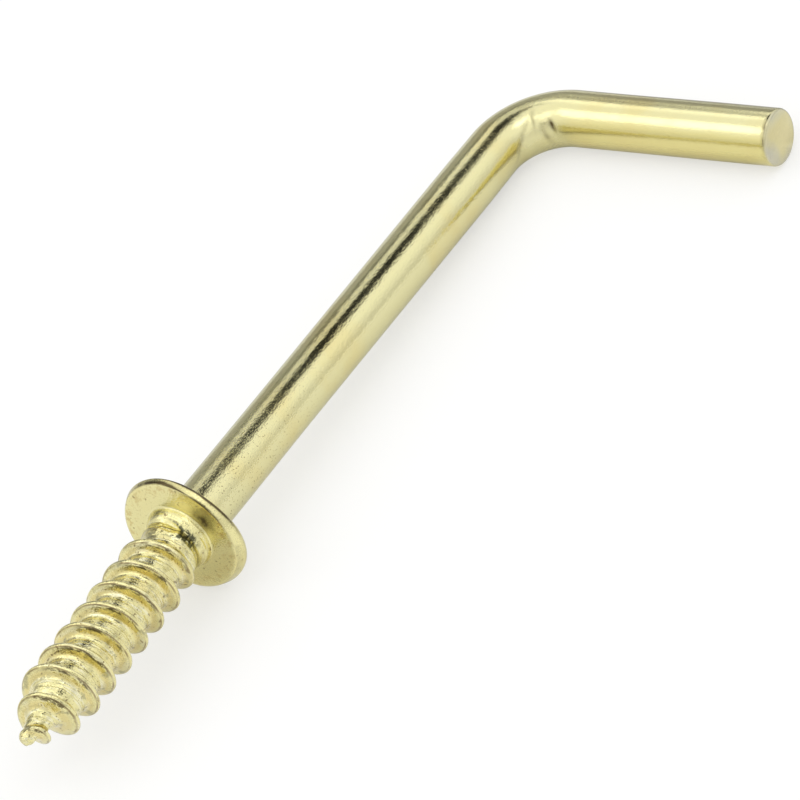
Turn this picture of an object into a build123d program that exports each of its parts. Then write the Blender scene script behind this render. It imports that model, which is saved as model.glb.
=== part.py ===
from build123d import *
import math
import os

os.makedirs("parts", exist_ok=True)

# An L-shaped screw hook: one piece of drawn wire. The wire is bent square at one
# end, a round collar is pressed up out of it, and a wood screw thread with a
# gimlet point is rolled on the other end. Millimetres. It lies as it comes to
# rest: on the collar's rim and along the arm, screw towards +X, arm towards +Y.

# wire, bend and arm
WIRE_D = 3.5
BEND_RADIUS = 4.1          # of the wire's middle line
ARM_ANGLE = 95.0           # degrees between the screw and the arm, left so by springback
SHANK_REACH = 40.6         # collar face to the arm's middle line
ARM_REACH = 18.1           # shank's middle line to the cut end
END_ROUND = 0.25           # edge of the cut end, rounded by tumbling

# collar, boss and neck
COLLAR_D = 8.28
FACE_D = 7.9               # flat face that meets the wood
RIM_BACK = 0.41            # widest circle, behind the face
COLLAR_HEIGHT = 1.5        # face to where the domed back meets the shank
BOSS_D = 4.3
BOSS_HEIGHT = 0.65
NECK_D = 3.85
NECK_LENGTH = 1.55         # collar face to the first groove

# right-handed wood screw thread, 13 turns to the inch
SCREW_LENGTH = 19.5        # collar face to the point
THREAD_D = 4.8
CORE_D = 3.34
PITCH = 1.954
CREST_AT_ARM = 4.59        # station of a crest on the arm's side
FULL_DEPTH = 3.8           # station from which the thread has its full depth
POINT_LENGTH = 4.4         # gimlet point
NUB_D = 1.06
SCREW_LEAN = 2.2           # degrees that the screw leans towards the arm's side

# gimlet point, as shares of its length, of the thread's radius, of the core's radius
POINT = [
    (0.0, 1.0, 1.0),
    (0.2, 0.93, 0.86),
    (0.38, 0.78, 0.58),
    (0.64, 0.6, 0.43),
    (0.86, 0.46, 0.34),
    (1.0, 0.2, 0.26),
]

# ridge across one pitch: distance from the crest as a share of the pitch, height as
# a share of the thread's depth; the flanks are hollow
RIDGE = [(-0.33, 0.0), (-0.16, 0.4), (-0.05, 1.0), (0.05, 1.0), (0.16, 0.4), (0.33, 0.0)]
FOOT = 0.8                 # radius at which the ridge is rooted, of the core's radius

# other shares
BURIED = 0.3               # share of the neck that hides the thread's start
START_IN_NECK = 0.9        # radius of that hidden start, of the neck's radius
CONE_INSIDE = 0.8          # radius at which the neck's cone ends, of the core's radius
BOSS_STRAIGHT = 0.6        # share of the boss's height that is straight

# fineness of the ridge
SECTIONS_PER_TURN = 12

WIRE_R = WIRE_D / 2
RIM_R = COLLAR_D / 2
NECK_R = NECK_D / 2
CORE_R = CORE_D / 2
THREAD_R = THREAD_D / 2
NUB_STATION = SCREW_LENGTH - NUB_D / 2
THREAD_START = NECK_LENGTH * (1 - BURIED)
POINT_START = SCREW_LENGTH - POINT_LENGTH
ARM_DIRECTION = Vector(1, 0, 0).rotate(Axis.Z, ARM_ANGLE)


def point_station(share):
    """Station at a share of the way from the point's start to the nub."""
    return POINT_START + (NUB_STATION - POINT_START) * share


# radius of the ridge's crest and of the core at stations from the collar face
CREST_LINE = [
    (THREAD_START, NECK_R * START_IN_NECK),
    (NECK_LENGTH, NECK_R),
    (FULL_DEPTH, THREAD_R),
] + [(point_station(share), THREAD_R * crest) for share, crest, core in POINT]
CORE_LINE = [
    (THREAD_START, CORE_R),
] + [(point_station(share), CORE_R * core) for share, crest, core in POINT]


def radius_at(station, line):
    """Radius at a station, on straight lines between the given pairs."""
    for (a, start), (b, stop) in zip(line, line[1:]):
        if station <= b:
            return start + (stop - start) * (station - a) / (b - a)
    return line[-1][1]


def ridge_section(station):
    """Section through the ridge, in a half plane that turns once a pitch."""
    core = radius_at(station, CORE_LINE)
    crest = radius_at(station, CREST_LINE)
    corners = [Vector(station + RIDGE[0][0] * PITCH, core * FOOT, 0)]
    for offset, height in RIDGE:
        corners.append(Vector(station + offset * PITCH, core + (crest - core) * height, 0))
    corners.append(Vector(station + RIDGE[-1][0] * PITCH, core * FOOT, 0))
    section = Wire.make_polygon(corners, close=True)
    return section.rotate(Axis.X, 360 * (station - CREST_AT_ARM) / PITCH)


def make_ridge():
    """Ridge of the thread, lofted turn by turn and sewn to one skin."""
    length = NUB_STATION - THREAD_START
    turns = math.ceil(length / PITCH)
    count = turns * SECTIONS_PER_TURN
    sections = [ridge_section(THREAD_START + length * k / count) for k in range(count + 1)]
    skin = [Face(sections[0]), Face(sections[-1])]
    for first in range(0, count, SECTIONS_PER_TURN):
        turn = Solid.make_loft(sections[first:first + SECTIONS_PER_TURN + 1])
        skin += [face for face in turn.faces() if face.geom_type != GeomType.PLANE]
    return Solid(Shell(skin))


def make_core():
    """Core of the screw with the point's cone, turned about the screw's axis."""
    with BuildSketch() as half:
        with BuildLine():
            Polyline((THREAD_START, 0), *CORE_LINE, (NUB_STATION, 0), close=True)
        make_face()
    nub = Pos(NUB_STATION, 0, 0) * Sphere(NUB_D / 2)
    return revolve(half.sketch, axis=Axis.X) + nub


def make_screw():
    """Threaded end, leaning as one."""
    return Rotation(0, 0, SCREW_LEAN) * (make_core() + make_ridge())


def make_collar():
    """Collar with rounded rim and domed back, boss and neck, turned about the shank."""
    inside = CORE_R * CONE_INSIDE
    cone_end = NECK_LENGTH + NECK_R - inside
    back = (-COLLAR_HEIGHT, WIRE_R)
    rim = (-RIM_BACK, RIM_R)
    face = (0, FACE_D / 2)
    boss = (BOSS_HEIGHT * BOSS_STRAIGHT, BOSS_D / 2)
    neck = (BOSS_HEIGHT, NECK_R)
    with BuildSketch() as half:
        with BuildLine():
            Line((-COLLAR_HEIGHT, 0), back)
            Spline(back, rim, tangents=[(1, 3), (1, 0)])
            Spline(rim, face, tangents=[(1, 0), (1, -4)])
            Polyline(face, (0, BOSS_D / 2), boss)
            Spline(boss, neck, tangents=[(1, 0), (1, -3)])
            Polyline(neck, (NECK_LENGTH, NECK_R), (cone_end, inside), (cone_end, 0),
                     (-COLLAR_HEIGHT, 0))
        make_face()
    return revolve(half.sketch, axis=Axis.X)


def make_wire():
    """Shank, square bend and arm: one round wire along one line."""
    corner = Vector(-SHANK_REACH, 0, 0)
    path = FilletPolyline((0, 0, 0), corner, corner + ARM_DIRECTION * ARM_REACH, radius=BEND_RADIUS)
    wire = sweep(Plane.YZ * Circle(WIRE_R), path=path)
    cut_end = wire.faces().sort_by(Axis.Y)[-1]
    return fillet(cut_end.edges(), END_ROUND)


def lay_down(hook):
    """Tip the hook about its arm until collar and arm both touch the ground."""
    reach = (SHANK_REACH - RIM_BACK) * math.sin(math.radians(ARM_ANGLE))
    tilt = math.atan2(RIM_R, reach) - math.asin(WIRE_R / math.hypot(reach, RIM_R))
    laid = hook.rotate(Axis((-SHANK_REACH, 0, 0), ARM_DIRECTION), -math.degrees(tilt))
    middle = laid.bounding_box().center()
    return laid.moved(Location((-middle.X, -middle.Y, WIRE_R)))


hook = lay_down(make_wire() + make_collar() + make_screw())
hook.label = "screw_hook"
export_step(hook, "parts/screw_hook.step")
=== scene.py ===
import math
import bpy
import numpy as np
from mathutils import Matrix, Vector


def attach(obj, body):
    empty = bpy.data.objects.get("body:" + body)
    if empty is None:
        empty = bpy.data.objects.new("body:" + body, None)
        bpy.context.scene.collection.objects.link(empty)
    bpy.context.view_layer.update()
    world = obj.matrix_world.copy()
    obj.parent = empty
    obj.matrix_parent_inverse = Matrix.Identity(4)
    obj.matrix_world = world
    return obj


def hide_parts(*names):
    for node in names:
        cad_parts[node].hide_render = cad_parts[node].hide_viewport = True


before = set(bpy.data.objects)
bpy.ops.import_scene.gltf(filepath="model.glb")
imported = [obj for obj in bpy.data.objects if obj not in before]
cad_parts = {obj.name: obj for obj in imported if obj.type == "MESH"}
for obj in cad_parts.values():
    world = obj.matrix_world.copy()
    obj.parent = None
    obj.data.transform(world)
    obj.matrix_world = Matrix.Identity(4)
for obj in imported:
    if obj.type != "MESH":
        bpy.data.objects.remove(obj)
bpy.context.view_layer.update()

# %% [markdown]
# # A screw hook of brass-plated wire
# A screw hook is one length of drawn wire. A wood screw is rolled on one end, a
# round collar is pressed up out of the wire, and the other end is bent square to
# hang things on. The whole hook is then plated. The imported model gives its sizes.
# Here it gets the skin that the eye sees: rolled thread, uneven rim, pinched bend.

MM = 0.001

# %% [markdown]
# ## The line that the wire follows
# Every part of the hook lies along one line: up the arm, round the bend, down the
# shank to the point. Lengths here are in millimetres with the shank along X, as the
# hook is drawn on paper. It is laid on the ground only when it is finished. The
# line gives a middle and a heading for any length of wire, so one helper serves all.

# %% Sizes of the wire
WIRE_R = 1.75
BEND_R = 4.1                                  # of the wire's middle line
ARM_ANGLE = math.radians(95)                  # between shank and arm, opened by springback
SHANK_REACH = 40.68                           # collar's face to the arm's middle line
ARM_REACH = 18.1                              # shank's middle line to the cut end
SCREW_LENGTH = 19.32                          # collar's face to the point
TURNED = math.pi - ARM_ANGLE                  # how far the bend turns the wire
TO_TANGENT = BEND_R * math.tan(TURNED / 2)    # corner to the start of the bend
CORNER = np.array([-SHANK_REACH, 0, 0])
ARM_WAY = np.array([math.cos(ARM_ANGLE), math.sin(ARM_ANGLE), 0])
ARM_STRAIGHT = ARM_REACH - TO_TANGENT
BEND_LENGTH = BEND_R * TURNED
SHANK_START = ARM_STRAIGHT + BEND_LENGTH      # wire used up where the shank begins
print("wire used: arm", round(ARM_STRAIGHT, 2), "bend", round(BEND_LENGTH, 2))


# %% Middle and heading of the wire
def wire_line(used):
    """Middle of the wire and its heading, after a length of wire from the cut end."""
    if used <= ARM_STRAIGHT:
        return CORNER + ARM_WAY * (ARM_REACH - used), -ARM_WAY
    if used <= SHANK_START:
        swung = (used - ARM_STRAIGHT) / BEND_R
        start = math.atan2(-ARM_WAY[1], -ARM_WAY[0])
        heading = np.array([math.cos(start + swung), math.sin(start + swung), 0])
        hub = CORNER + np.array([TO_TANGENT, BEND_R, 0])
        return hub + BEND_R * np.array([heading[1], -heading[0], 0]), heading
    down_shank = used - SHANK_START + TO_TANGENT
    return np.array([down_shank - SHANK_REACH, 0, 0]), np.array([1.0, 0, 0])


def used_at(station):
    """Wire used up at a station, which counts from the collar's face to the point."""
    return station + SHANK_START - TO_TANGENT + SHANK_REACH


print("at the collar's face:", wire_line(used_at(0))[0].round(3), "used", round(used_at(0), 2))

# %% [markdown]
# ## A skin of rings
# A round bar is easiest as a stack of rings, joined ring to ring. Each ring holds
# its own radius for every angle, so one stack can swell, be dented, flare into the
# collar and close on a pole at each end. A curve with a bevel gives the bare tube
# faster, but not a dent on one side only. Angle zero is on the arm's side, and a
# quarter turn is up. Each point also carries how much grime and painted shade lie on
# it, and how dull the metal is, which on the collar's face also places a painted
# highlight.

# %% The stack of rings
AROUND = 112                                  # points in a ring
ANGLES = np.linspace(0, 2 * math.pi, AROUND, endpoint=False)
rings = []


def add_ring(used, radii, ahead=0.0, grime_and_shade=0.0, dull_and_glint=0.0):
    """One ring round the wire's line; ahead moves its points along the wire.

    Each value but the first is one number, or one for every angle.
    """
    middle, heading = wire_line(used)
    inward = np.array([-heading[1], heading[0], 0])
    radii, ahead, grime_and_shade, dull_and_glint = (
        np.broadcast_to(v, AROUND).astype(float) for v in (radii, ahead, grime_and_shade, dull_and_glint))
    out = np.outer(np.cos(ANGLES), inward) + np.outer(np.sin(ANGLES), [0, 0, 1])
    points = middle + out * radii[:, None] + heading * ahead[:, None]
    unbent = np.stack([used + ahead, radii * np.cos(ANGLES), radii * np.sin(ANGLES)], 1)
    rings.append((points, unbent, grime_and_shade, dull_and_glint))


print("points in a ring:", AROUND)


# %% Soft limits, and what happens on one side only
def fade(value, start, stop):
    """0 before start, 1 after stop, smooth between."""
    t = np.clip((value - start) / (stop - start), 0, 1)
    return t * t * (3 - 2 * t)


def between(value, start, full, last, stop):
    """1 from full to last, smooth to 0 at start and at stop."""
    return fade(value, start, full) * (1 - fade(value, last, stop))


def hump(value, middle, width):
    """1 at the middle, falling off like a bell."""
    return np.exp(-((value - middle) / width) ** 2)


def degrees_from(middle):
    """Degrees from a middle to every angle of a ring, the short way round."""
    return (np.degrees(ANGLES) - middle + 180) % 360 - 180


def patch(middle, half):
    """1 at the middle of a patch of the wire's round, 0 at its edge; in degrees."""
    return fade(half - np.abs(degrees_from(middle)), 0, half)


def wander(angle, waves, size, seed):
    """An uneven round: a few waves of falling size, whose places the seed fixes."""
    rng = np.random.default_rng(seed)
    return sum(size / (k + 1) * np.sin(n * angle + rng.uniform(0, 6.28))
               for k, n in enumerate(waves))


print("a patch of 40 degrees covers", int((patch(0, 20) > 0).sum()), "points of a ring")

# %% [markdown]
# ## The cut end of the arm
# The wire is sheared off, then tumbled, so the end is nearly flat, a little crowned,
# and its edge is rounded. The rings start at a pole in the middle of the end and
# grow, then turn over the edge on a quarter circle.

# %% Cut end
EDGE = 0.27                                   # rounding of the edge
CROWN = 0.05                                  # how far the end's middle stands out
END_SWELL = 0.024                             # shearing has thickened the end by this share
END_R = WIRE_R * (1 + END_SWELL)
QUARTER = math.pi / 2
uneven = 0.018 * np.sin(ANGLES + 0.6) + wander(ANGLES, (2, 3, 5), 0.010, 3)
for radius in np.linspace(0.1, END_R - EDGE, 12):
    share = radius / (END_R - EDGE)
    add_ring(CROWN * share ** 2, radius, uneven * share)
for turn in np.linspace(0, QUARTER, 8)[1:]:
    # Darker along the upper side of the rounded edge.
    tone_shift = 0.75 * hump(turn, 1.25, 0.42) * patch(48, 80)
    add_ring(CROWN + EDGE * (1 - math.cos(turn)), END_R - EDGE * (1 - math.sin(turn)),
             uneven * (1 - turn / QUARTER), grime_and_shade=tone_shift)
print("rings so far:", len(rings))

# %% [markdown]
# ## Arm, bend and shank
# Bending stretches the outside of the wire and crushes its inside. The wire comes
# out of the bend a little thinner, and the metal that has nowhere to go wrinkles
# into small folds across the inside of the bend. Grime and painted shade lie in the
# creases, and one painted dark spot stands for a reflection there. Towards the
# collar the shank swells, where the blank was gripped and pushed up. All of it is a
# change of radius, and each fold is one row of a table.

# %% Folds at the bend
# Middle as a share of the bend, its slant per degree, the angle where the slant
# starts, width, height, the side that it is on and half of what it covers there.
FOLDS = (
    (0.455, 0.0012, 60, 0.050, -0.018, 42, 48),
    (0.53, 0.0075, 52, 0.065, -0.026, 26, 62),
    (0.60, 0, 0, 0.11, 0.050, 8, 70),
    (0.36, -0.002, 8, 0.070, -0.042, 6, 52),
    (0.22, 0, 0, 0.050, -0.030, 29, 34),
)
# Grime and painted shade along the creases, in the same columns; the last row is a painted dark spot
# that stands for a reflection.
CREASE_GRIME_AND_SHADE = (
    (0.455, 0.0012, 60, 0.026, 0.42, 47, 36),
    (0.53, 0.0075, 52, 0.045, 0.46, 24, 56),
    (0.36, -0.002, 8, 0.050, 0.46, 6, 38),
    (0.212, -0.002, 27, 0.040, 1.30, 27, 20),
)


def folded(share, table):
    """All rows of a table of folds, at a share of the way round the bend."""
    return sum(height * hump(share, middle - slant * degrees_from(level), width) * patch(side, half)
               for middle, slant, level, width, height, side, half in table)


def crushed(share):
    """1 where the bend has crushed the wire's inside and left it duller."""
    return patch(12, 62) * between(share, -0.05, 0.2, 0.7, 1.0)


print("deepest fold in mm:", round(float(folded(0.36, FOLDS).min()), 3))

# %% Radius along the wire
BEND_THINS = 0.002                            # share by which arm and bend are thinner
CRUSHED_IN = 0.05                             # flat on the inside of the bend
SHANK_SWELL = 0.025                           # thicker again past the bend
COLLAR_SWELL, ONE_SIDED = 0.045, 0.02         # thicker at the collar, more on one side


def wire_radius(used):
    """Radius for every angle on arm, bend and shank."""
    past_end = fade(used, 2.0, ARM_STRAIGHT - 1.0)
    in_shank = fade(used, SHANK_START, SHANK_START + 3.5)
    to_collar = fade(used - used_at(0), -14, -2)
    share = (used - ARM_STRAIGHT) / BEND_LENGTH
    radius = WIRE_R * (1 + END_SWELL * (1 - past_end) - BEND_THINS * past_end * (1 - in_shank))
    radius = radius + wander(ANGLES + used * 0.02, (2, 3), 0.006, 5) + folded(share, FOLDS)
    radius = radius - CRUSHED_IN * between(share, -0.15, 0.25, 0.75, 1.15) * patch(8, 75)
    radius = radius + SHANK_SWELL * in_shank
    return radius + to_collar * (COLLAR_SWELL + ONE_SIDED * np.cos(ANGLES + 0.9))


print("radius half way down the shank:", wire_radius(used_at(-20)).mean().round(3))

# %% Rings of arm, bend and shank
COARSE, FINE = 0.6, 0.06                      # ring to ring, on straight wire and in the bend
COLLAR_BACK = 1.5
stretches = [
    np.arange(CROWN + EDGE + 0.15, ARM_STRAIGHT - COARSE, COARSE),
    np.arange(ARM_STRAIGHT - COARSE, SHANK_START + COARSE, FINE),
    np.arange(SHANK_START + COARSE, used_at(-COLLAR_BACK - 0.25), COARSE),
]
for used in np.concatenate(stretches):
    share = (used - ARM_STRAIGHT) / BEND_LENGTH
    add_ring(used, wire_radius(used), grime_and_shade=folded(share, CREASE_GRIME_AND_SHADE), dull_and_glint=crushed(share))
print("rings so far:", len(rings))

# %% [markdown]
# ## Collar, boss and neck
# The collar is a disc with a flat face towards the wood, a narrow cone round its
# edge, and a domed back that runs into the shank. It is drawn as a profile of
# straight runs whose corners are rounded, then turned round the wire. The punch left
# the back thin on one side and thick on the other, so the back's points slide along
# the shank with the angle, and the rim is never quite a circle. On the neck in front
# of it a gripping tool left a flat, scaly mark with a curved burr, and beside the mark
# a dark reflection is painted.


# %% Rounded profile
def rounded(corners, spacing):
    """Points along straight runs; each corner is (along, radius, rounding)."""
    places = [np.array(corner[:2], float) for corner in corners]
    path = [places[0]]
    for before, here, after, corner in zip(places, places[1:], places[2:], corners[1:]):
        back, on = before - here, after - here
        long_back, long_on = np.linalg.norm(back), np.linalg.norm(on)
        reach = min(corner[2], long_back * 0.49, long_on * 0.49)
        start, stop = here + back / long_back * reach, here + on / long_on * reach
        for t in np.linspace(0, 1, 7):
            path.append((1 - t) ** 2 * start + 2 * t * (1 - t) * here + t * t * stop)
    path.append(places[-1])
    filled = [path[0]]
    for a, b in zip(path, path[1:]):
        length = np.linalg.norm(b - a)
        steps = max(1, int(length / spacing))
        if length > 1e-6:
            filled += [a + (b - a) * k / steps for k in range(1, steps + 1)]
    return np.array(filled)


COLLAR = [
    (-1.72, 1.81, 0), (-1.46, 1.84, 0.25), (-1.02, 3.05, 0.8), (-0.71, 3.99, 0.22),
    (-0.46, 4.15, 0.16), (-0.05, 3.99, 0.10), (0.0, 3.83, 0.12), (0.0, 2.24, 0.12),
    (0.34, 2.17, 0.16), (0.62, 2.02, 0.16), (1.02, 1.83, 0.20), (1.30, 1.93, 0),
]
collar_line = rounded(COLLAR, 0.07)
print("rings in the collar:", len(collar_line))

# %% The tool's mark on the neck
MARK_AT, MARK_SIDE = 1.22, 84                 # its middle: station, and angle in degrees
MARK_LONG, MARK_WIDE = 0.50, 33
BURR, FLAT, SCALES = 0.055, 0.060, 0.030      # heights and depths


def from_mark(station):
    """Distance from the mark's middle, 1 on its curved edge; and 1 on its right half."""
    around = degrees_from(MARK_SIDE)
    return np.hypot((station - MARK_AT) / MARK_LONG, around / MARK_WIDE), fade(-around, -6, 10)


def tool_mark(station):
    """Depth of the flat, scaly mark on the neck's upper side, less its raised burr."""
    away, right = from_mark(station)
    place = patch(80, 50) * between(station, 0.62, 0.95, 1.6, 1.95)
    scales = SCALES * np.sin(9 * station + 14 * ANGLES) * np.sin(17 * station - 9 * ANGLES)
    return place * (FLAT - scales) - BURR * right * hump(away, 0.92, 0.17)


def neck_reflection_and_burr(station):
    """Painted dark reflection beside the tool's mark, drawn along the neck, and a dark line at its
    burr.
    """
    away, right = from_mark(station)
    beside = patch(36, 40) * between(station, 0.50, 0.80, 1.35, 1.70) * fade(away, 0.95, 1.15)
    return 2.2 * beside + 0.8 * right * hump(away, 1.2, 0.13)


depths = tool_mark(MARK_AT)
print("mark's depth in mm:", depths.min().round(3), "to", depths.max().round(3))


# %% Shape of the collar
def near_rim(radius):
    """0 at the collar's middle, 1 at its rim."""
    return fade(radius, 2.6, 4.0)


def collar_shape(along, radius):
    """Radii of one ring of the collar, and how far its points slide along the wire."""
    rim = near_rim(radius)
    boss = between(along, 0.40, 0.54, 0.74, 0.9)
    thick = 0.17 * patch(-16, 70) * rim * fade(-along, 0.05, 0.35)
    radii = radius - tool_mark(along) + thick
    radii = radii + rim * (wander(ANGLES, (2, 3, 5, 9), 0.016, 8) - 0.025)
    radii = radii + rim * (0.10 * patch(90, 45) - 0.10 * patch(-112, 30) - 0.05 * patch(155, 40))
    radii = radii + boss * wander(ANGLES, (3, 4, 7, 11), 0.055, 12)
    if along < -0.3:
        joins = wire_radius(used_at(along)) - COLLAR[0][1]
        radii = radii + joins * (1 - fade(radius, 1.9, 2.6))
    tilted = 0.12 * np.cos(ANGLES + math.radians(45)) - 0.06
    slide = 0.018 * rim * np.sin(2 * ANGLES + 0.5) - fade(-along, 0.30, 0.7) * tilted - thick
    return radii, slide + boss * wander(ANGLES, (2, 3, 5), 0.05, 31)


print("rim's radius:", [round(float(f(collar_shape(-0.46, 4.15)[0])), 2) for f in (np.min, np.max)])


# %% Marks on the collar
def collar_marks(along, radius):
    """Grime, painted shade and dullness of one ring: painted dark reflections, a darker patch on the
    boss, and a duller patch with a painted highlight.
    """
    # Painted dark reflections along the rim's back edge and the face's edge, strongest on the upper
    # side, with a faint dark line all round.
    rim_edge = 3.0 * hump(along, -0.48, 0.11) * near_rim(radius) * (0.05 + 0.95 * patch(58, 62))
    past_top = fade(np.degrees(ANGLES), 60, 95)
    face_edge = 2.2 * hump(radius - 0.085 * past_top, 3.93, 0.055) * (along > -0.3)
    face_edge = face_edge * (0.14 + 0.86 * patch(72, 68)) * (1 - 0.6 * patch(66, 22))
    on_flat = (along > -0.02) * (radius > 2.2)
    # Painted dark reflection on the face, beside the boss.
    face_dark_reflection = 1.25 * hump(radius, 2.78, 0.47) * on_flat * patch(34, 30)
    # Darker on one side of the boss.
    boss_darker_patch = 1.2 * between(along, 0.08, 0.25, 0.42, 0.75) * patch(114, 28)
    # A duller patch on the face, which also carries a painted gold highlight.
    dull_glint_patch = hump(radius, 2.85, 0.45) * on_flat * patch(63, 27)
    return rim_edge + face_edge + face_dark_reflection + boss_darker_patch + neck_reflection_and_burr(along), dull_glint_patch


for along, radius in collar_line:
    radii, slide = collar_shape(along, radius)
    add_ring(used_at(along), radii, slide, *collar_marks(along, radius))
print("rings so far:", len(rings))

# %% [markdown]
# ## Blank of the screw
# A wood screw thread isn't cut. Two ribbed dies roll a plain blank between them and
# squeeze its metal up into a ridge. So here too the screw starts plain: a neck, a
# core that tapers to the gimlet point, and a small rounded nub. The ridge comes
# next, from a tree of Geometry Nodes, because it follows one rule all the way.

# %% Rings of the blank
NECK_R = 1.92
CORE_R = 1.67
POINT_LENGTH = 4.22
NUB_R = 0.53
NUB_AT = SCREW_LENGTH - NUB_R
POINT_AT = SCREW_LENGTH - POINT_LENGTH
POINT_PLACES = (0, 0.2, 0.38, 0.64, 0.86, 1)             # shares of the way to the nub
BLANK_SHARES = (1, 0.88, 0.62, 0.43, 0.34, 0.27)         # of the core's radius, there


def blank_radius(station):
    """Radius of the plain blank: neck, core, point and round nub."""
    nub = math.sqrt(max(NUB_R ** 2 - (station - NUB_AT) ** 2, 0))
    if station > NUB_AT:
        return nub
    share = (station - POINT_AT) / (NUB_AT - POINT_AT)
    core = CORE_R * np.interp(share, POINT_PLACES, BLANK_SHARES)
    return max(core + (NECK_R - CORE_R) * (1 - fade(station, 1.5, 2.4)) ** 2, nub)


for station in np.arange(1.35, NUB_AT + NUB_R - 0.004, 0.042):
    bumpy = wander(ANGLES, (2, 3), 0.008, 21) * fade(NUB_AT - station, 0, 1)
    add_ring(used_at(station), blank_radius(station) - tool_mark(station) + bumpy,
             grime_and_shade=neck_reflection_and_burr(station))
print("rings in all:", len(rings))

# %% [markdown]
# ## Joining the rings
# Neighbouring rings are joined by quads, and each end closes with a fan of triangles
# on its pole, so the skin has no hole and no seam. Each point also keeps its
# place on the wire as it was before it was bent. A pattern that reads this place
# follows the wire round the bend, as drawing marks do.


# %% Skin from the rings
def ring_faces(count):
    """Quads between neighbouring rings and a fan on each pole, facing outwards."""
    base = np.arange(count - 1)[:, None] * AROUND
    here, on = np.arange(AROUND), (np.arange(AROUND) + 1) % AROUND
    corners = [base + here, base + on, base + AROUND + on, base + AROUND + here]
    quads = np.stack(corners, -1).reshape(-1, 4).tolist()
    first, last, end = count * AROUND, count * AROUND + 1, (count - 1) * AROUND
    fans = [(first, b, a) for a, b in zip(here, on)]
    fans += [(last, end + a, end + b) for a, b in zip(here, on)]
    return quads + [tuple(int(i) for i in fan) for fan in fans]


def keep_on_points(mesh, name, kind, field, values):
    """A named attribute with a value for every point of a mesh."""
    attribute = mesh.attributes.new(name, kind, "POINT")
    attribute.data.foreach_set(field, values.astype(np.float32).ravel())


poles = [[[0, 0, 0]], [[used_at(SCREW_LENGTH), 0, 0]]]
pole_points = [wire_line(place[0][0])[0][None] for place in poles]
ring_points, ring_unbent, ring_grime_and_shade, ring_dull_and_glint = (list(parts) for parts in zip(*rings))
blank_mesh = bpy.data.meshes.new("plain_blank")
blank_mesh.from_pydata(
    (np.concatenate(ring_points + pole_points) * MM).tolist(), [], ring_faces(len(rings)))
keep_on_points(blank_mesh, "unbent", "FLOAT_VECTOR", "vector", np.concatenate(ring_unbent + poles))
keep_on_points(blank_mesh, "grime_and_shade", "FLOAT", "value", np.concatenate(ring_grime_and_shade + [[0.0, 0.0]]))
keep_on_points(blank_mesh, "dull_and_glint", "FLOAT", "value", np.concatenate(ring_dull_and_glint + [[0.0, 0.0]]))
blank_mesh.polygons.foreach_set("use_smooth", [True] * len(blank_mesh.polygons))
blank = bpy.data.objects.new("plain_blank", blank_mesh)
bpy.context.collection.objects.link(blank)
print("blank:", len(blank_mesh.vertices), "points,", len(blank_mesh.polygons), "faces")

# %% [markdown]
# ## A tree of nodes that rolls the thread
# For each point the tree asks how far along the screw it is and at what angle. One
# pitch along is the same as one turn round, so the difference between the two, less
# its nearest whole number, tells how far the point is from the middle of the ridge.
# A curve turns that into the ridge's height. Two more curves give the radius of crest
# and core along the screw. A smooth maximum joins ridge and blank with a small fillet.


# %% Helpers for trees
def add_node(tree, kind, values=(), **settings):
    """A node with its settings, and its sockets set or linked by place or name."""
    node = tree.nodes.new(kind)
    for name, value in settings.items():
        setattr(node, name, value)
    for key, value in dict(values).items():
        socket = node.inputs[key]
        if isinstance(value, bpy.types.NodeSocket):
            tree.links.new(value, socket)
        else:
            socket.default_value = value
    return node


def reckon(tree, operation, *values):
    """A Math node's result."""
    node = add_node(tree, "ShaderNodeMath", dict(enumerate(values)), operation=operation)
    return node.outputs[0]


def times(tree, result, *others):
    """Values multiplied, one after another."""
    for value in others:
        result = reckon(tree, "MULTIPLY", result, value)
    return result


def shape_curve(tree, value, points):
    """A Float Curve through the given points."""
    node = add_node(tree, "ShaderNodeFloatCurve", {"Value": value})
    curve = node.mapping.curves[0]
    while len(curve.points) < len(points):
        curve.points.new(0.5, 0.5)
    for spot, (x, y) in zip(curve.points, points):
        spot.location = (x, y)
        spot.handle_type = "AUTO_CLAMPED"
    node.mapping.update()
    return node.outputs[0]


print("helpers:", [helper.__name__ for helper in (add_node, reckon, times, shape_curve)])

# %% Inputs of the thread tree
THREAD_R = 2.4
THREAD_START = 1.085
THREAD_INPUTS = (
    ("Pitch", 1.954 * MM), ("Crest at the arm's side", 4.59 * MM),
    ("Core radius", CORE_R * MM), ("Thread radius", THREAD_R * MM),
    ("Start", THREAD_START * MM), ("Screw length", SCREW_LENGTH * MM),
    ("Fillet", 0.07 * MM), ("Unevenness", 0.035 * MM), ("Seed", 4.0),
)
thread_tree = bpy.data.node_groups.new("roll_thread", "GeometryNodeTree")
sockets = thread_tree.interface
sockets.new_socket("Geometry", in_out="INPUT", socket_type="NodeSocketGeometry")
for name, value in THREAD_INPUTS:
    sockets.new_socket(name, in_out="INPUT", socket_type="NodeSocketFloat").default_value = value
sockets.new_socket("Finish", in_out="INPUT", socket_type="NodeSocketMaterial")
sockets.new_socket("Geometry", in_out="OUTPUT", socket_type="NodeSocketGeometry")
given = thread_tree.nodes.new("NodeGroupInput").outputs
print("inputs:", [name for name, value in THREAD_INPUTS])

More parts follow.
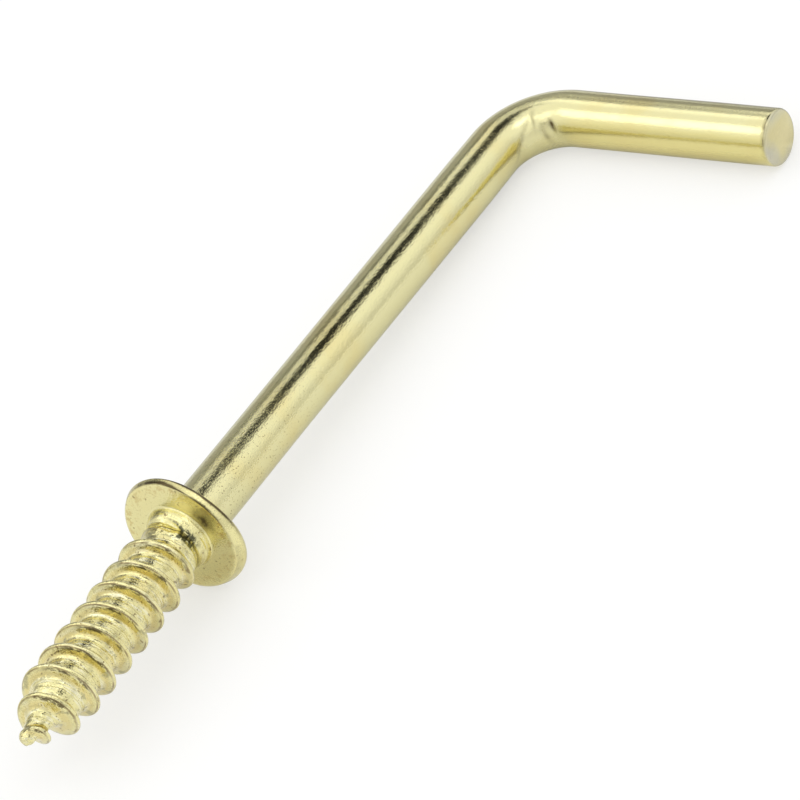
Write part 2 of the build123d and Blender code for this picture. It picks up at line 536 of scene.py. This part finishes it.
# %% Where a point is on the helix
place = add_node(thread_tree, "GeometryNodeInputPosition").outputs[0]
along, aside, up = add_node(thread_tree, "ShaderNodeSeparateXYZ", {0: place}).outputs
turn = reckon(thread_tree, "DIVIDE", reckon(thread_tree, "ARCTAN2", up, aside), 2 * math.pi)
from_crest = reckon(thread_tree, "SUBTRACT", along, given["Crest at the arm's side"])
pitches = reckon(thread_tree, "DIVIDE", from_crest, given["Pitch"])
phase = reckon(thread_tree, "SUBTRACT", pitches, turn)
ridge_number = reckon(thread_tree, "ROUND", phase)
off_crest = reckon(thread_tree, "SUBTRACT", phase, ridge_number)
across = times(thread_tree, off_crest, given["Pitch"])
crest_station = reckon(thread_tree, "SUBTRACT", along, across)
print("nodes so far:", len(thread_tree.nodes))

# %% Heights of ridge, crest and core
RIDGE_SHAPE = (
    (0, 0), (0.14, 0.0), (0.27, 0.16), (0.37, 0.50), (0.425, 0.86), (0.462, 0.985), (0.5, 1),
    (0.530, 0.985), (0.575, 0.89), (0.615, 0.72), (0.665, 0.37), (0.73, 0.12), (0.80, 0.02),
    (0.86, 0), (1, 0),
)
CREST_AT_NECK = ((0, 0.70), (THREAD_START, 0.72), (1.6, 0.81), (3.8, 1.0))   # station, share
CREST_SHARES = (1.0, 0.95, 0.80, 0.615, 0.47, 0.2)
CORE_SHARES = (1.0, 0.88, 0.62, 0.43, 0.34, 0.26)
point_places = [(POINT_AT + (NUB_AT - POINT_AT) * share) / SCREW_LENGTH for share in POINT_PLACES]
crest_shape = [(station / SCREW_LENGTH, share) for station, share in CREST_AT_NECK]
crest_shape += list(zip(point_places, CREST_SHARES)) + [(1, 0)]
core_shape = [(0, 1)] + list(zip(point_places, CORE_SHARES)) + [(1, 0.2)]
crest_share = reckon(thread_tree, "DIVIDE", crest_station, given["Screw length"])
own_share = reckon(thread_tree, "DIVIDE", along, given["Screw length"])
crest = times(thread_tree, shape_curve(thread_tree, crest_share, crest_shape), given["Thread radius"])
core = times(thread_tree, shape_curve(thread_tree, own_share, core_shape), given["Core radius"])
on_screw = reckon(thread_tree, "GREATER_THAN", along, given["Start"])
over_ridge = shape_curve(thread_tree, reckon(thread_tree, "ADD", off_crest, 0.5), RIDGE_SHAPE)
height = times(thread_tree, over_ridge, on_screw)
print("ridge shape:", len(RIDGE_SHAPE), "points; crest shape:", len(crest_shape), "points")

# %% Place on the unrolled thread, and uneven metal
turns = reckon(thread_tree, "ADD", ridge_number, turn)
on_helix = add_node(thread_tree, "ShaderNodeCombineXYZ", {
    0: reckon(thread_tree, "DIVIDE", across, MM),
    1: times(thread_tree, turns, 2 * math.pi * THREAD_R), 2: given["Seed"]}).outputs[0]
spread_out = add_node(thread_tree, "ShaderNodeVectorMath", {
    0: place, 1: (900, 900, 900)}, operation="MULTIPLY").outputs[0]
marks = add_node(thread_tree, "ShaderNodeTexNoise", {
    "Vector": spread_out, "W": given["Seed"], "Scale": 1.0, "Detail": 2.0},
    noise_dimensions="4D").outputs[0]
bumps = times(thread_tree, reckon(thread_tree, "SUBTRACT", marks, 0.5), given["Unevenness"], on_screw)
print("nodes so far:", len(thread_tree.nodes))

# %% Moved points and the end of the tree
ridge_height = reckon(thread_tree, "SUBTRACT", crest, core)
ridge_top = reckon(thread_tree, "MULTIPLY_ADD", ridge_height, height, core)
outward = add_node(thread_tree, "ShaderNodeCombineXYZ", {1: aside, 2: up}).outputs[0]
radius_now = add_node(thread_tree, "ShaderNodeVectorMath", {0: outward},
                      operation="LENGTH").outputs["Value"]
joined = reckon(thread_tree, "SMOOTH_MAX", radius_now, ridge_top, given["Fillet"])
joined = add_node(thread_tree, "GeometryNodeSwitch", {0: on_screw, 1: radius_now, 2: joined},
                  input_type="FLOAT").outputs[0]
raised = reckon(thread_tree, "ADD", reckon(thread_tree, "SUBTRACT", joined, radius_now), bumps)
way = add_node(thread_tree, "ShaderNodeVectorMath", {0: outward}, operation="NORMALIZE").outputs[0]
shift = add_node(thread_tree, "ShaderNodeVectorMath", {0: way, "Scale": raised},
                 operation="SCALE").outputs[0]
flow = given["Geometry"]
for name, value, kind in (("ridge", height, "FLOAT"), ("on_helix", on_helix, "FLOAT_VECTOR")):
    flow = add_node(thread_tree, "GeometryNodeStoreNamedAttribute", {
        "Geometry": flow, "Name": name, "Value": value}, data_type=kind, domain="POINT").outputs[0]
for kind, more in (("GeometryNodeSetPosition", {"Offset": shift}),
                   ("GeometryNodeRealizeInstances", {}),
                   ("GeometryNodeSetMaterial", {"Material": given["Finish"]}),
                   ("NodeGroupOutput", {})):
    last = add_node(thread_tree, kind, {"Geometry": flow, **more})
    flow = last.outputs[0] if last.outputs else None
print("nodes in the tree:", len(thread_tree.nodes))

# %% [markdown]
# ## Rolling it
# The modifier's inputs are set by their identifiers before anything is evaluated.
# The result is copied out as a plain mesh, and the blank and its modifier go.

# %% Rolled skin
plating = bpy.data.materials.new("plated_wire")
rolling = blank.modifiers.new("roll_thread", "NODES")
rolling.node_group = thread_tree
inputs = {s.name: s.identifier for s in sockets.items_tree if s.in_out == "INPUT"}
for name, value in THREAD_INPUTS:
    rolling[inputs[name]] = value
rolling[inputs["Finish"]] = plating
depsgraph = bpy.context.evaluated_depsgraph_get()
skin = bpy.data.meshes.new_from_object(
    blank.evaluated_get(depsgraph), preserve_all_data_layers=True, depsgraph=depsgraph)
bpy.data.objects.remove(blank)
print("rolled:", len(skin.vertices), "points, attributes", [a.name for a in skin.attributes])

# %% [markdown]
# ## Leaning the screw and laying the hook down
# The screw of this hook stands a little aside and leans out of line with the shank,
# towards the arm. Then the hook is tipped about its arm until the collar's rim is on
# the ground as well, and slid so that its footprint is centred, just as the packed
# model lies. What would dip under the ground is pressed flat on it.

# %% Lean, tip and slide
RIM_R, RIM_BACK = 4.14, 0.41                  # widest circle of the collar, behind its face
LEAN = math.radians(1.85)
LEAN_FROM, LEAN_TO = 0.6, 2.2                 # stations between which the lean grows
ASIDE = 0.12
FOOTPRINT_MIDDLE = np.array([-12.2066, 7.0083])
spots = np.empty(len(skin.vertices) * 3, np.float32)
skin.vertices.foreach_get("co", spots)
x, y, z = spots.reshape(-1, 3).astype(float).T / MM
lean = LEAN * fade(x, LEAN_FROM, LEAN_TO)
leaning = np.stack([x * np.cos(lean) - y * np.sin(lean),
                    x * np.sin(lean) + y * np.cos(lean) + ASIDE * lean / LEAN, z], 1)
reach = (SHANK_REACH - RIM_BACK) * math.sin(ARM_ANGLE)
tilt = math.atan2(RIM_R, reach) - math.asin(WIRE_R / math.hypot(reach, RIM_R))
tip = np.array(Matrix.Rotation(-tilt, 3, Vector(ARM_WAY)))
laid = (leaning - CORNER) @ tip.T + CORNER + np.array([*-FOOTPRINT_MIDDLE, WIRE_R])
laid[:, 2] = np.maximum(laid[:, 2], 0)
skin.vertices.foreach_set("co", (laid * MM).astype(np.float32).ravel())
skin.update()
hook = bpy.data.objects.new("hook_skin", skin)
bpy.context.collection.objects.link(hook)
print("tipped by", round(math.degrees(tilt), 3), "degrees")
print("box in mm:", laid.min(0).round(2), laid.max(0).round(2))

# %% [markdown]
# ## The plating
# Thin brass over steel: pale yellow, bright, never quite smooth. Metal gets its
# colour from the base colour and its depth from roughness and bump, so those carry
# the detail. A pattern reads the place that suits it: the place on the unbent wire
# for what drawing left, the place on the unrolled thread for what rolling left, and
# the object's own coordinates for pits and dirt.


# %% Places on the hook
def read(name, output="Fac"):
    """An attribute of the skin."""
    return add_node(shade, "ShaderNodeAttribute", attribute_name=name).outputs[output]


plating.use_nodes = True
shade = plating.node_tree
shade.nodes.clear()
on_wire, on_thread = read("unbent", "Vector"), read("on_helix", "Vector")
ridge_here, grime_and_shade_here, dull_and_glint_here = read("ridge"), read("grime_and_shade"), read("dull_and_glint")
on_object = add_node(shade, "ShaderNodeTexCoord").outputs["Object"]
along_wire, to_arm, upward = add_node(shade, "ShaderNodeSeparateXYZ", {0: on_wire}).outputs
across_thread = add_node(shade, "ShaderNodeSeparateXYZ", {0: on_thread}).outputs[0]
squares = reckon(shade, "ADD", times(shade, to_arm, to_arm), times(shade, upward, upward))
own_radius = reckon(shade, "SQRT", squares)
print("attributes read:", [n.attribute_name for n in shade.nodes if n.type == "ATTRIBUTE"])


# %% Patterns and limits
def noise(coordinates, finer, detail=2.0, rough=0.5):
    """Noise on coordinates made finer, all three alike or each by its own number."""
    stretch = [float(s) for s in np.broadcast_to(finer, 3)]
    scaled = add_node(shade, "ShaderNodeVectorMath", {0: coordinates, 1: stretch},
                      operation="MULTIPLY").outputs[0]
    return add_node(shade, "ShaderNodeTexNoise", {
        "Vector": scaled, "Scale": 1.0, "Detail": detail, "Roughness": rough}).outputs[0]


def spread(value, low, high, to_low=0.0, to_high=1.0):
    """A value's range stretched to another, smooth and clamped."""
    return add_node(shade, "ShaderNodeMapRange", {
        "Value": value, "From Min": low, "From Max": high, "To Min": to_low, "To Max": to_high},
        interpolation_type="SMOOTHSTEP").outputs[0]


def band(value, start, full, last, stop):
    """1 from full to last, smooth to 0 at start and at stop."""
    return times(shade, spread(value, start, full), spread(value, last, stop, 1.0, 0.0))


near_collar = spread(along_wire, used_at(-22), used_at(-1))
past_face = spread(along_wire, used_at(-0.35), used_at(-0.15))
past_collar = spread(along_wire, used_at(0.02), used_at(0.3))
past_boss = spread(along_wire, used_at(0.85), used_at(1.1))
on_face = band(along_wire, used_at(-0.03), used_at(-0.01), used_at(0.02), used_at(0.06))
on_cut = spread(along_wire, 0.10, 0.30, 1.0, 0.0)
print("nodes so far:", len(shade.nodes))

# %% [markdown]
# ## Colour of the brass
# The plating is thicker and yellower in some places than in others, so a slow cloud
# of gold lies over the pale brass. The arm is laid a deeper gold below its top, which
# is painted shade. On the thread the flanks are a deeper gold, and pale streaks run
# along it, most of all in the roots: partly wear where the dies slid, partly a painted
# highlight. Small brown specks are pores where rust came through, and they grow more
# common towards the collar. Each colour is laid over the last.


# %% Laying one colour over another
def blend(amount, one, other):
    """Colour between two."""
    node = add_node(shade, "ShaderNodeMix", data_type="RGBA")
    for place, value in ((0, amount), (6, one), (7, other)):
        if isinstance(value, bpy.types.NodeSocket):
            shade.links.new(value, node.inputs[place])
        else:
            node.inputs[place].default_value = value
    return node.outputs[2]


def lay(under, over, *amounts):
    """A colour over another, as thick as all the amounts multiplied."""
    return blend(times(shade, *amounts), under, over)


print("helpers:", [helper.__name__ for helper in (blend, lay)])

# %% Brass of shank and arm
PALE_BRASS = (0.80, 0.74, 0.37, 1)
DRAWN_BRASS = (0.77, 0.725, 0.40, 1)
ARM_SHADED_BRASS = (0.78, 0.70, 0.30, 1)
GOLD_BRASS = (0.76, 0.64, 0.27, 1)
BROWN = (0.22, 0.15, 0.06, 1)
cloud = noise(on_object, 260, 3.0)
colour = blend(spread(along_wire, used_at(-2.5), used_at(-1.0)), DRAWN_BRASS, PALE_BRASS)
# Painted shade: below its top the arm is laid a deeper gold.
on_arm = spread(along_wire, ARM_STRAIGHT - 2.0, ARM_STRAIGHT + 2.0, 1.0, 0.0)
colour = lay(colour, ARM_SHADED_BRASS, on_arm, spread(upward, 0.85, 1.40, 1.0, 0.0))
colour = lay(colour, GOLD_BRASS, spread(cloud, 0.46, 0.72, 0.0, 0.50))
specks = spread(noise(on_object, 9500, 1.0), 0.655, 0.72)
fewer_past = times(shade, past_face, 0.5)
speck_share = reckon(shade, "SUBTRACT", spread(near_collar, 0, 1, 0.08, 0.85), fewer_past)
colour = lay(colour, BROWN, specks, speck_share)
print("nodes so far:", len(shade.nodes))

# %% Brass of the thread
DEEP_GOLD = (0.73, 0.61, 0.25, 1)
PALE_WEAR_AND_SHEEN = (0.86, 0.83, 0.58, 1)
GREY_OLIVE = (0.38, 0.36, 0.20, 1)
colour = lay(colour, DEEP_GOLD, band(ridge_here, 0.04, 0.22, 0.40, 0.72), 0.65)
# Pale streaks along the thread: partly wear of the dies, partly a painted highlight in the roots.
tone_shift = spread(noise(on_thread, (5.0, 0.40, 1.0), 2.0, 0.55), 0.50, 0.62, 0.0, 0.8)
colour = lay(colour, PALE_WEAR_AND_SHEEN, tone_shift, past_boss, spread(ridge_here, 0.05, 0.2, 1.0, 0.45))
smut = spread(noise(on_thread, (3.0, 0.95, 4.0), 3.0, 0.6), 0.55, 0.66, 0.0, 0.7)
colour = lay(colour, GREY_OLIVE, smut, past_boss)
scratches = spread(noise(on_thread, (7.5, 1.3, 7.0), 2.0, 0.6), 0.63, 0.70, 0.0, 0.7)
colour = lay(colour, BROWN, scratches, past_boss)
print("nodes so far:", len(shade.nodes))

# %% [markdown]
# ## Stains, grime and painted light
# The collar's face has ochre stains, and one duller patch painted with a bright gold
# highlight. A broken brown line runs under each crest, mostly on the side of the
# point, where metal folded over in rolling. A blacker one is a painted dark
# reflection, on the side of each turn that faces up and to the right. Grime and
# painted shade lie where the rings were told to carry them, and on the neck they are
# drawn out in streaks. The cut end shows bare, greyer metal.

# %% Stains and a painted highlight on the collar's face
OCHRE = (0.62, 0.50, 0.21, 1)
BRIGHT_GOLD = (0.99, 0.92, 0.52, 1)
stains = spread(noise(on_object, 2300, 3.0, 0.65), 0.53, 0.62)
colour = lay(colour, OCHRE, stains, spread(own_radius, 2.6, 3.6, 0.0, 0.75), on_face)
# Painted highlight: bright gold on the collar's face, where the duller patch is.
colour = lay(colour, BRIGHT_GOLD, dull_and_glint_here, on_face)
colour = lay(colour, BROWN, spread(noise(on_object, 3400, 1.0), 0.70, 0.74, 0.0, 0.75), past_face)
print("nodes so far:", len(shade.nodes))

# %% Dark lines under the crests
DARK_EDGE = (0.10, 0.075, 0.030, 1)
UPPER_RIGHT = math.radians(50)                # the side where a dark reflection is painted
tip_side = spread(across_thread, -0.02, 0.06, 0.3, 1.0)
broken = spread(noise(on_object, 900, 2.0), 0.36, 0.56, 0.15, 1.0)
colour = lay(colour, BROWN, band(ridge_here, 0.76, 0.87, 0.90, 0.96), tip_side, broken, 0.75)
# Painted dark reflection: a blacker, broken line under the crests, on the side that faces up and to
# the right.
reflection_side = reckon(shade, "MULTIPLY_ADD", to_arm, math.cos(UPPER_RIGHT),
                 times(shade, upward, math.sin(UPPER_RIGHT)))
reflection_side = spread(reckon(shade, "DIVIDE", reflection_side, own_radius), 0.55, 0.92, 0.12, 1.0)
broken_reflection = spread(noise(on_thread, (8.0, 0.95, 9.0), 3.0, 0.70), 0.455, 0.55, 0.0, 0.9)
low_crest = band(ridge_here, 0.55, 0.70, 0.86, 0.95)
colour = lay(colour, DARK_EDGE, low_crest, tip_side, past_boss, reflection_side, broken_reflection)
print("nodes so far:", len(shade.nodes))

# %% Grime and painted shade, and the bare cut end
DARK_OLIVE = (0.105, 0.105, 0.055, 1)
CUT_METAL = (0.555, 0.535, 0.425, 1)
patchy = spread(noise(on_object, 2200, 2.0), 0.30, 0.62, 0.55, 1.0)
drawn_out = spread(noise(on_wire, (1.3, 5.5, 5.5), 3.0, 0.65), 0.38, 0.58, 0.10, 1.0)
gaps = times(shade, past_collar, reckon(shade, "SUBTRACT", 1.0, drawn_out))
# Grime and painted shade, darker before the collar and olive past it.
colour = lay(colour, blend(past_collar, DARK_EDGE, DARK_OLIVE),
             grime_and_shade_here, patchy, reckon(shade, "SUBTRACT", 1.0, gaps))
colour = lay(colour, CUT_METAL, on_cut, spread(cloud, 0.42, 0.62, 0.95, 0.35))
print("nodes so far:", len(shade.nodes))

# %% [markdown]
# ## Ripple, pits and gloss
# Drawn wire is never flat: it has a slow ripple and a finer orange peel, which break
# the edges of every reflection. A fine grain and small pits come on top. Arm and bend
# are smoother than the shank, but a little duller. The thread has marks along it from
# the dies, and dents. A bump node is enough for all of these, since none of them
# shows in the outline.


# %% Relief
def build_up(base, *layers):
    """A value with more laid on it, each layer given as (value, share)."""
    for value, share in layers:
        base = reckon(shade, "MULTIPLY_ADD", value, share, base)
    return base


RELIEF_DEPTH = 0.020 * MM
ripple = noise(on_wire, (0.8, 3.0, 3.0), 1.0)
orange_peel = noise(on_wire, (3.5, 6.5, 6.5), 1.0, 0.5)
pits = spread(noise(on_object, 11000, 1.0), 0.45, 0.75)
pits = times(shade, pits, spread(near_collar, 0, 1, 0.15, 1.0))
rolled_marks = times(shade, noise(on_thread, (4.0, 0.35, 1.0), 1.0, 0.4), past_boss)
dents = times(shade, noise(on_object, 1700, 2.0), past_boss)
grain = times(shade, noise(on_object, 8000, 2.0, 0.6), spread(near_collar, 0, 1, 0.44, 0.76))
relief = build_up(times(shade, orange_peel, 0.55), (ripple, 0.45))
relief = times(shade, relief, spread(along_wire, SHANK_START - 1, SHANK_START + 9, 0.35, 1.0))
relief = build_up(relief, (pits, -0.22), (grain, 0.95), (rolled_marks, 2.4), (dents, 2.5))
bump = add_node(shade, "ShaderNodeBump", {
    "Height": relief, "Strength": 1.0, "Distance": RELIEF_DEPTH}).outputs[0]
print("nodes so far:", len(shade.nodes))

# %% Gloss, and the finished metal
gloss = spread(noise(on_object, 700, 3.0), 0.3, 0.7, 0.08, 0.14)
smoky = spread(along_wire, SHANK_START - 2, SHANK_START + 3, 0.03, 0.0)
matter = reckon(shade, "MAXIMUM", on_face, on_cut)
gloss = build_up(gloss, (past_boss, -0.03), (dull_and_glint_here, 0.16), (smoky, 1.0), (matter, 0.09))
metal = add_node(shade, "ShaderNodeBsdfPrincipled", {
    "Base Color": colour, "Metallic": 1.0, "Roughness": gloss, "Normal": bump,
    "Coat Weight": 0.25, "Coat Roughness": 0.12})
add_node(shade, "ShaderNodeOutputMaterial", {"Surface": metal.outputs[0]})
print("nodes in the finish:", len(shade.nodes))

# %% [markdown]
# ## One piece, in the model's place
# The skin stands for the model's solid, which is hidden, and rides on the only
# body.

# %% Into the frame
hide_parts("screw_hook")
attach(hook, "root")
print("faces of the hook:", sum(len(p.vertices) - 2 for p in skin.polygons))

# %% [markdown]
# ## Ground
# A pale matt ground, large enough to fill the view from any side. Camera and metal
# see it partly lit from within, by Light Path, so that it stays pale in the shadow,
# while the light that it gives back to the hook is that of plain matt paint.


# %% Pale ground
def matt(name, colour):
    """A matt finish with a faint, even grain."""
    material = bpy.data.materials.new(name)
    material.use_nodes = True
    tree = material.node_tree
    surface = tree.nodes["Principled BSDF"]
    surface.inputs["Roughness"].default_value = 0.9
    surface.inputs["Specular IOR Level"].default_value = 0.1
    place = add_node(tree, "ShaderNodeTexCoord").outputs["Object"]
    grain = add_node(tree, "ShaderNodeTexNoise", {"Vector": place, "Scale": 300.0, "Detail": 2.0})
    lighter = [min(1.0, c * 1.01) for c in colour]
    ramp = add_node(tree, "ShaderNodeValToRGB", {"Fac": grain.outputs[0]})
    ramp.color_ramp.elements[0].color = (*colour, 1)
    ramp.color_ramp.elements[1].color = (*lighter, 1)
    tree.links.new(ramp.outputs[0], surface.inputs["Base Color"])
    return material


def glowing(material, diffuse, glow):
    """Lets camera and metal see a matt finish partly lit from within."""
    tree = material.node_tree
    out, lit = tree.nodes["Material Output"], tree.nodes["Principled BSDF"].outputs[0]
    seen = add_node(tree, "ShaderNodeLightPath").outputs
    rays = reckon(tree, "ADD", seen["Is Camera Ray"], seen["Is Glossy Ray"])
    rays = reckon(tree, "ADD", rays, seen["Is Transmission Ray"])
    dim = add_node(tree, "ShaderNodeBsdfDiffuse", {"Color": (*(diffuse,) * 3, 1)}).outputs[0]
    light = add_node(tree, "ShaderNodeEmission", {"Color": (1, 1, 0.995, 1), "Strength": glow})
    both = add_node(tree, "ShaderNodeAddShader", {0: dim, 1: light.outputs[0]}).outputs[0]
    mixed = add_node(tree, "ShaderNodeMixShader", {0: rays, 1: lit, 2: both}).outputs[0]
    tree.links.new(mixed, out.inputs["Surface"])
    return material


def stand_up(name, points, faces, material):
    """A piece of the studio, which isn't part of the hook."""
    mesh = bpy.data.meshes.new(name)
    mesh.from_pydata(points, [], faces)
    mesh.materials.append(material)
    piece = bpy.data.objects.new(name, mesh)
    bpy.context.collection.objects.link(piece)
    return piece


GROUND = 1.5                                  # half its width, in metres
ground = stand_up(
    "ground", [(x * GROUND, y * GROUND, 0) for x, y in ((-1, -1), (1, -1), (1, 1), (-1, 1))],
    [(0, 1, 2, 3)], glowing(matt("pale_ground", (0.90, 0.90, 0.895)), 0.42, 0.545))
print("ground in metres:", [round(v, 2) for v in ground.dimensions])

# %% [markdown]
# ## A white tent with hidden cards
# Bright metal has hardly a colour of its own: it shows what stands round it. So the
# studio is a white tent, dimmer at the horizon. In it hang cards of felt that the
# metal sees and the camera doesn't. A black one above draws the dark streak down the
# shank, and a small black one by the camera gives the streak its end at the bend and
# the thread its dark middle. A pale one takes the glare off a line along shank and
# arm. Upright walls darken the far edge of shank, arm and screw, and felt on the
# ground darkens what looks down or sideways; round the hook it is painted shade,
# standing for the floor's shade that the glowing ground hides from the metal. Their
# edges are feathered, because a hard edge would show as a line in the metal.


# %% Tent
world = bpy.data.worlds.new("white_tent")
bpy.context.scene.world = world
world.use_nodes = True
sky = world.node_tree
sky_place = add_node(sky, "ShaderNodeTexCoord").outputs["Generated"]
rise = add_node(sky, "ShaderNodeSeparateXYZ", {0: sky_place}).outputs[2]
bright = add_node(sky, "ShaderNodeMapRange", {
    "Value": rise, "From Min": 0.0, "From Max": 0.62, "To Min": 0.74, "To Max": 1.12},
    interpolation_type="SMOOTHSTEP").outputs[0]
sky.nodes["Background"].inputs["Color"].default_value = (1, 1, 0.99, 1)
sky.links.new(bright, sky.nodes["Background"].inputs["Strength"])
print("nodes in the tent:", len(sky.nodes))


# %% Feathered cards
def feathered(name, grey):
    """Matt felt that thins out to nothing where the card's own cover attribute falls to 0."""
    felt = matt(name, (grey,) * 3)
    tree = felt.node_tree
    cover = add_node(tree, "ShaderNodeAttribute", attribute_name="cover").outputs["Fac"]
    clear = add_node(tree, "ShaderNodeBsdfTransparent").outputs[0]
    solid = tree.nodes["Principled BSDF"].outputs[0]
    mixed = add_node(tree, "ShaderNodeMixShader", {0: cover, 1: clear, 2: solid})
    tree.links.new(mixed.outputs[0], tree.nodes["Material Output"].inputs["Surface"])
    return felt


def hidden_card(name, corners, grey, soft):
    """A card that only the metal sees, in mm; soft is the fade at its first side and on round."""
    outer = [Vector(c) for c in corners]
    wide, high = (outer[1] - outer[0]).length, (outer[3] - outer[0]).length
    low, right, top, left = soft[0] / high, 1 - soft[1] / wide, 1 - soft[2] / high, soft[3] / wide

    def spot(u, v):
        return outer[0].lerp(outer[1], u).lerp(outer[3].lerp(outer[2], u), v)

    inner = [spot(left, low), spot(right, low), spot(right, top), spot(left, top)]
    card = stand_up(name, [p * MM for p in outer + inner],
                    [(0, 1, 5, 4), (1, 2, 6, 5), (2, 3, 7, 6), (3, 0, 4, 7), (4, 5, 6, 7)],
                    feathered(name + "_felt", grey))
    cover = card.data.attributes.new("cover", "FLOAT", "POINT")
    cover.data.foreach_set("value", [0.0] * 4 + [1.0] * 4)
    card.visible_camera = card.visible_diffuse = card.visible_shadow = False


def sheet(name, x, y, z, grey, soft):
    """A level card, from its ends along X and Y and its height."""
    (x0, x1), (y0, y1) = x, y
    hidden_card(name, [(x0, y0, z), (x1, y0, z), (x1, y1, z), (x0, y1, z)], grey, soft)


def wall(name, x, y, z, grey, soft):
    """An upright card, from its two lower corners and its ends along Z."""
    (x0, x1), (y0, y1), (z0, z1) = x, y, z
    hidden_card(name, [(x0, y0, z0), (x1, y1, z0), (x1, y1, z1), (x0, y0, z1)], grey, soft)


print("helpers:", [helper.__name__ for helper in (feathered, hidden_card, sheet, wall)])

# %% Cards above and round the hook
sheet("black_card", (-262, -85), (-101, 84), 215, 0.02, (38, 30, 70, 42))
PALE_CORNERS = [(-246, -208, 219), (-180, -208, 219), (-132, -88, 219), (-230, -88, 219)]
hidden_card("pale_card", PALE_CORNERS, 0.66, (8, 12, 8, 16))
wall("shank_wall", (-225, 30), (-155, -155), (1, 168), 0.40, (1, 40, 12, 10))
wall("dark_felt", (-194, 30), (-154, -154), (88, 178), 0.22, (32, 40, 14, 12))
wall("arm_wall", (-300, -300), (-340, -30), (1, 160), 0.345, (1, 60, 16, 10))
CAMERA_CORNERS = [(44.9, 15.9, 23.4), (30.9, 29.3, 23.4), (22.6, 20.6, 38.4), (36.6, 7.3, 38.4)]
hidden_card("camera_card", CAMERA_CORNERS, 0.02, (5, 5, 5, 5))

# %% Felt on the ground, seen only by the metal: painted shade of the floor round the hook
sheet("far_ground", (-300, -31), (-330, 12), 0.15, 0.375, (60, 2, 3, 40))
sheet("arm_ground", (-31, -24), (-6, 12), 0.17, 0.75, (1, 3.4, 3, 1))
sheet("side_ground", (-225, 14), (-150, -9), 0.19, 0.63, (5, 4, 1, 20))
sheet("shank_ground", (-27, 14), (-9, 150), 0.21, 0.83, (1, 4, 60, 1))
sheet("end_ground", (-60, -28.5), (12.2, 40), 0.22, 0.80, (1, 1, 15, 10))
sheet("screw_ground", (12.4, 75), (-62, -4), 0.23, 0.86, (25, 20, 2, 1))

# %% [markdown]
# ## Soft lamps
# Four large soft lamps in the tent's roof give the highlights a brighter core and the
# hook a faint shadow. They are weak, because the tent lights the hook already.

# %% Lamps
LAMP_DISTANCE = 0.8
LAMPS = (
    ("key", (0.405, -0.494, 0.773), 0.32, 0.24),      # way to it, width in metres, watts
    ("second", (-0.40, -0.56, 0.74), 0.22, 0.05),
    ("third", (-0.08, 0.45, 0.89), 0.26, 0.19),
    ("top", (0.50, 0.05, 0.86), 0.34, 0.20),
)
for name, way, width, watts in LAMPS:
    way = Vector(way).normalized()
    light = bpy.data.lights.new(name, "AREA")
    light.shape, light.size, light.energy = "SQUARE", width, watts
    lamp = bpy.data.objects.new(name, light)
    lamp.location = way * LAMP_DISTANCE
    lamp.rotation_euler = way.to_track_quat("Z", "Y").to_euler()
    bpy.context.collection.objects.link(lamp)
print("watts in all:", round(sum(watts for name, way, width, watts in LAMPS), 2))

# %% [markdown]
# ## Camera
# The camera looks down at the hook from between the screw's point and the arm's end,
# and is turned about its own line of sight, as the picture was. It stands far off with
# a long lens, which hardly narrows what is further away. Its axes were worked out from
# the hook's outline.

# %% Camera
CAMERA_RIGHT = Vector((-0.4963, 0.8142, -0.3011))
CAMERA_BACK = Vector((0.5465, 0.5626, 0.6203)).normalized()
CAMERA_UP = CAMERA_BACK.cross(CAMERA_RIGHT).normalized()
AIM = Vector((-0.084, 2.476, 5.994)) * MM
VIEW_WIDTH = 48.167 * MM
DISTANCE = 2.0                                # metres
SENSOR = 36
camera_data = bpy.data.cameras.new("camera")
camera_data.sensor_width = SENSOR
camera_data.lens = SENSOR * DISTANCE / VIEW_WIDTH
camera_data.clip_start, camera_data.clip_end = 0.1, 20
camera = bpy.data.objects.new("camera", camera_data)
bpy.context.collection.objects.link(camera)
axes = Matrix((CAMERA_UP.cross(CAMERA_BACK), CAMERA_UP, CAMERA_BACK)).transposed()
camera.matrix_world = Matrix.Translation(AIM + CAMERA_BACK * DISTANCE) @ axes.to_4x4()
bpy.context.scene.camera = camera
bpy.context.scene.view_settings.view_transform = "Standard"
print("lens", round(camera_data.lens), "mm")
